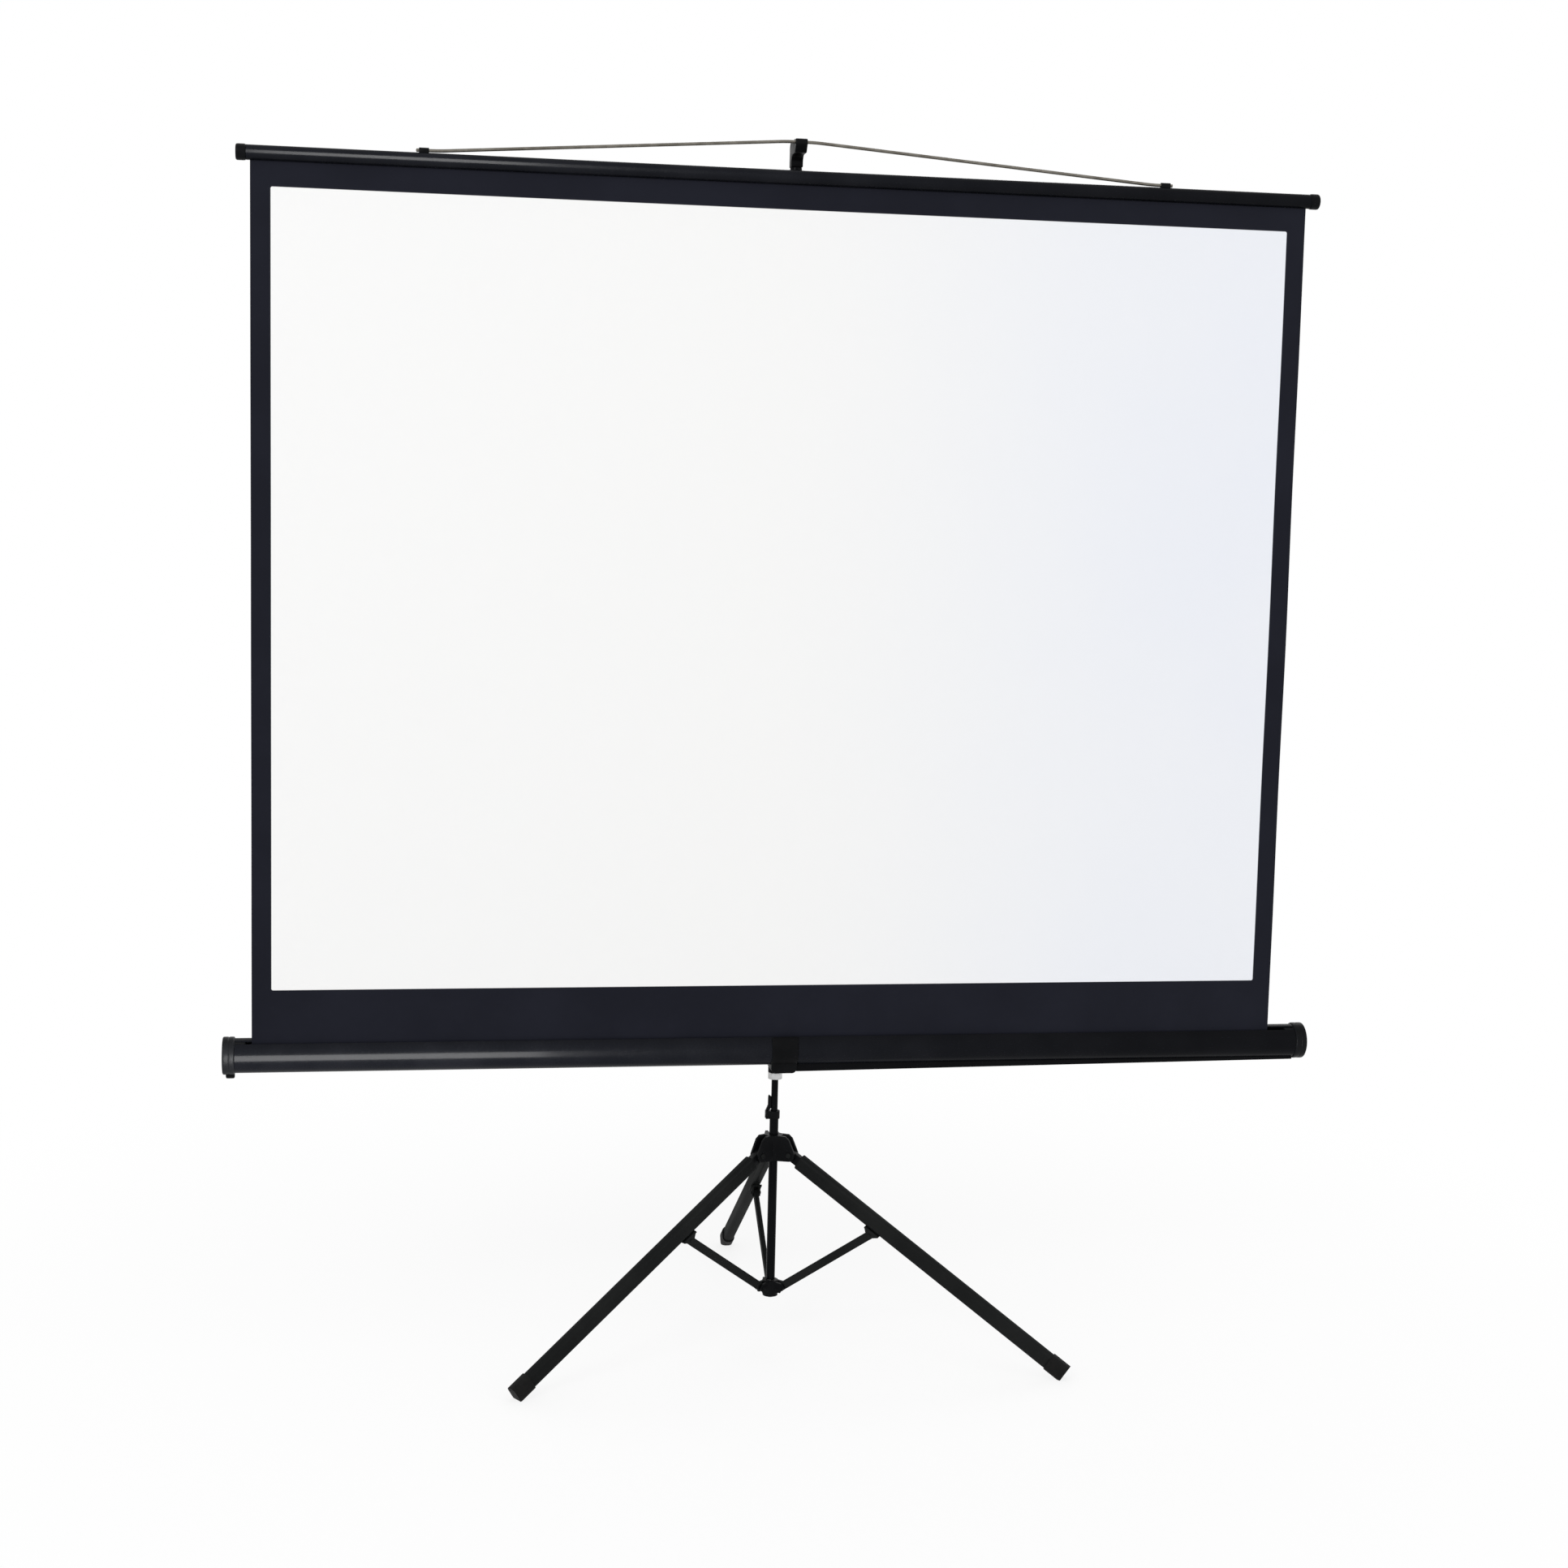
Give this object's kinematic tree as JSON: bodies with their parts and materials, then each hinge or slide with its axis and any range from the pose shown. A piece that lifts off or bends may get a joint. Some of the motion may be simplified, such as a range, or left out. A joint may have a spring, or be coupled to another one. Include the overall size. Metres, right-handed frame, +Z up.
{
  "type": "tripod projection screen",
  "caption": "Portable pull-up projection screen: white fabric with a dark border, round black case, folding tripod, telescopic mast with hook and wire bail.",
  "frame": {"origin": "on the floor, under the centre of the open screen's outline box", "axes": "+Z up, -Y the way the picture faces, +X to the viewer's right"},
  "size_m": [1.8816, 0.827, 2.0693],
  "materials": {
    "black_enamel": "gloss black stove enamel",
    "leg_enamel": "satin black enamel",
    "black_plastic": "moulded black plastic, fine grain",
    "rubber": "black rubber",
    "zinc": "zinc plated steel",
    "wire": "drawn steel wire",
    "roller_steel": "plain rolled steel",
    "white_fabric": "matt white coated cloth with a dark border",
    "black_fabric": "matt dark cloth"
  },
  "bodies": {
    "stand": {"lower_post": "black_enamel", "hub": "black_plastic", "leg_pin_front_left": "leg_enamel", "leg_pin_front_right": "leg_enamel", "leg_pin_rear": "leg_enamel", "latch_collar": "black_plastic", "latch_pin": "leg_enamel"},
    "spider": {"spider": "black_plastic", "spider_bolt": "zinc", "centre_rod": "zinc"},
    "leg_front_left": {"leg_front_left": "leg_enamel", "leg_head_front_left": "black_plastic", "foot_front_left": "rubber", "leg_bracket_front_left": "leg_enamel", "bracket_pin_front_left": "leg_enamel"},
    "leg_front_right": {"leg_front_right": "leg_enamel", "leg_head_front_right": "black_plastic", "foot_front_right": "rubber", "leg_bracket_front_right": "leg_enamel", "bracket_pin_front_right": "leg_enamel"},
    "leg_rear": {"leg_rear": "leg_enamel", "leg_head_rear": "black_plastic", "foot_rear": "rubber", "leg_bracket_rear": "leg_enamel", "bracket_pin_rear": "leg_enamel"},
    "brace_front_left": {"brace_front_left": "leg_enamel"},
    "brace_front_right": {"brace_front_right": "leg_enamel"},
    "brace_rear": {"brace_rear": "leg_enamel"},
    "latch_lever": {"latch_lever": "black_plastic"},
    "mast": {"stem": "black_enamel", "mast_ferrule": "zinc", "mast_tube": "black_enamel", "mast_collar": "black_plastic"},
    "mast_knob": {"mast_knob": "black_plastic"},
    "extension": {"extension_tube": "black_enamel", "hook": "black_plastic"},
    "carriage": {"carriage": "black_plastic", "swivel_bolt": "zinc", "swivel_washer": "zinc"},
    "carriage_knob": {"carriage_knob": "black_plastic"},
    "case": {"case_tube": "black_enamel", "case_cap_left": "black_plastic", "case_cap_right": "black_plastic", "case_saddle": "black_plastic", "case_stay": "black_enamel", "spring_arbor": "roller_steel", "screen_fabric": "white_fabric"},
    "roller": {"roller_tube": "roller_steel", "roller_idle_plug": "black_plastic", "roller_spring_plug": "black_plastic", "roller_spring": "roller_steel", "fabric_wraps": "black_fabric"},
    "slat": {"slat_tube": "black_enamel", "slat_spline": "roller_steel", "slat_cap_left": "black_plastic", "slat_cap_right": "black_plastic", "bail_clip_left": "black_plastic", "bail_clip_right": "black_plastic"},
    "bail": {"bail": "wire"}
  },
  "joints": [
    {"name": "spider_slide", "type": "slide", "parent": "stand", "child": "spider", "axis": [0, 0, -1], "range_m": [0, 0.15371]},
    {"name": "leg_front_left_hinge", "type": "hinge", "parent": "stand", "child": "leg_front_left", "pos_m": [-0.02771, -0.14847, 0.33257], "axis": [0.5, -0.866, 0], "range_deg": [0, 51.45]},
    {"name": "leg_front_right_hinge", "type": "hinge", "parent": "stand", "child": "leg_front_right", "pos_m": [0.02771, -0.14847, 0.33257], "axis": [0.5, 0.866, 0], "range_deg": [0, 51.45]},
    {"name": "leg_rear_hinge", "type": "hinge", "parent": "stand", "child": "leg_rear", "pos_m": [0, -0.10047, 0.33257], "axis": [-1, 0, 0], "range_deg": [0, 51.45]},
    {"name": "brace_front_left_hinge", "type": "hinge", "parent": "leg_front_left", "child": "brace_front_left", "pos_m": [-0.1585, -0.22399, 0.20679], "axis": [-0.5, 0.866, 0], "range_deg": [0, 104.31]},
    {"name": "brace_front_right_hinge", "type": "hinge", "parent": "leg_front_right", "child": "brace_front_right", "pos_m": [0.1585, -0.22399, 0.20679], "axis": [-0.5, -0.866, 0], "range_deg": [0, 104.31]},
    {"name": "brace_rear_hinge", "type": "hinge", "parent": "leg_rear", "child": "brace_rear", "pos_m": [0, 0.05055, 0.20679], "axis": [1, 0, 0], "range_deg": [0, 104.31]},
    {"name": "latch_press", "type": "hinge", "parent": "stand", "child": "latch_lever", "pos_m": [-0.01315, -0.13248, 0.40097], "axis": [0, -1, 0], "range_deg": [0, 15], "stiffness_Nm_per_rad": 0.3},
    {"name": "mast_slide", "type": "slide", "parent": "stand", "child": "mast", "axis": [0, 0, 1], "range_m": [0, 0.08]},
    {"name": "mast_knob_turn", "type": "hinge", "parent": "mast", "child": "mast_knob", "pos_m": [0, -0.13248, 1.42027], "axis": [0, 1, 0], "range_deg": [0, 360]},
    {"name": "carriage_knob_turn", "type": "hinge", "parent": "carriage", "child": "carriage_knob", "pos_m": [0, -0.13248, 0.53597], "axis": [0, 1, 0], "range_deg": [0, 360]},
    {"name": "slat_slide", "type": "slide", "parent": "case", "child": "slat", "axis": [0, 0, 1], "range_m": [-1.4239, 0], "deforming": ["screen_fabric"]},
    {"name": "case_swivel", "type": "hinge", "parent": "carriage", "child": "case", "pos_m": [0, -0.20047, 0.53597], "axis": [0, -1, 0], "range_deg": [0, 90.1]},
    {"name": "carriage_slide", "type": "slide", "parent": "mast", "child": "carriage", "axis": [0, 0, 1], "range_m": [0, 0.801]},
    {"name": "extension_slide", "type": "slide", "parent": "mast", "child": "extension", "axis": [0, 0, 1], "range_m": [0, 0.241]},
    {"name": "roller_spin", "type": "hinge", "parent": "case", "child": "roller", "pos_m": [0, -0.20047, 0.53597], "axis": [1, 0, 0], "range_deg": [0, 5210]},
    {"name": "bail_fold", "type": "hinge", "parent": "slat", "child": "bail", "pos_m": [0, -0.21447, 2.01547], "axis": [1, 0, 0], "range_deg": [0, 140.1]}
  ],
  "couplings": [
    {"joint": "leg_front_left_hinge", "follows": "spider_slide", "rad_per_m": 5.8364},
    {"joint": "leg_front_right_hinge", "follows": "spider_slide", "rad_per_m": 5.8364},
    {"joint": "leg_rear_hinge", "follows": "spider_slide", "rad_per_m": 5.8364},
    {"joint": "brace_front_left_hinge", "follows": "spider_slide", "rad_per_m": 11.839},
    {"joint": "brace_front_right_hinge", "follows": "spider_slide", "rad_per_m": 11.839},
    {"joint": "brace_rear_hinge", "follows": "spider_slide", "rad_per_m": 11.839},
    {"joint": "case_swivel", "follows": "slat_slide", "rad_per_m": -1.1032},
    {"joint": "carriage_slide", "follows": "slat_slide", "ratio": -0.56184},
    {"joint": "extension_slide", "follows": "slat_slide", "ratio": -0.16855},
    {"joint": "roller_spin", "follows": "slat_slide", "rad_per_m": -63.738},
    {"joint": "bail_fold", "follows": "slat_slide", "rad_per_m": -1.716}
  ]
}
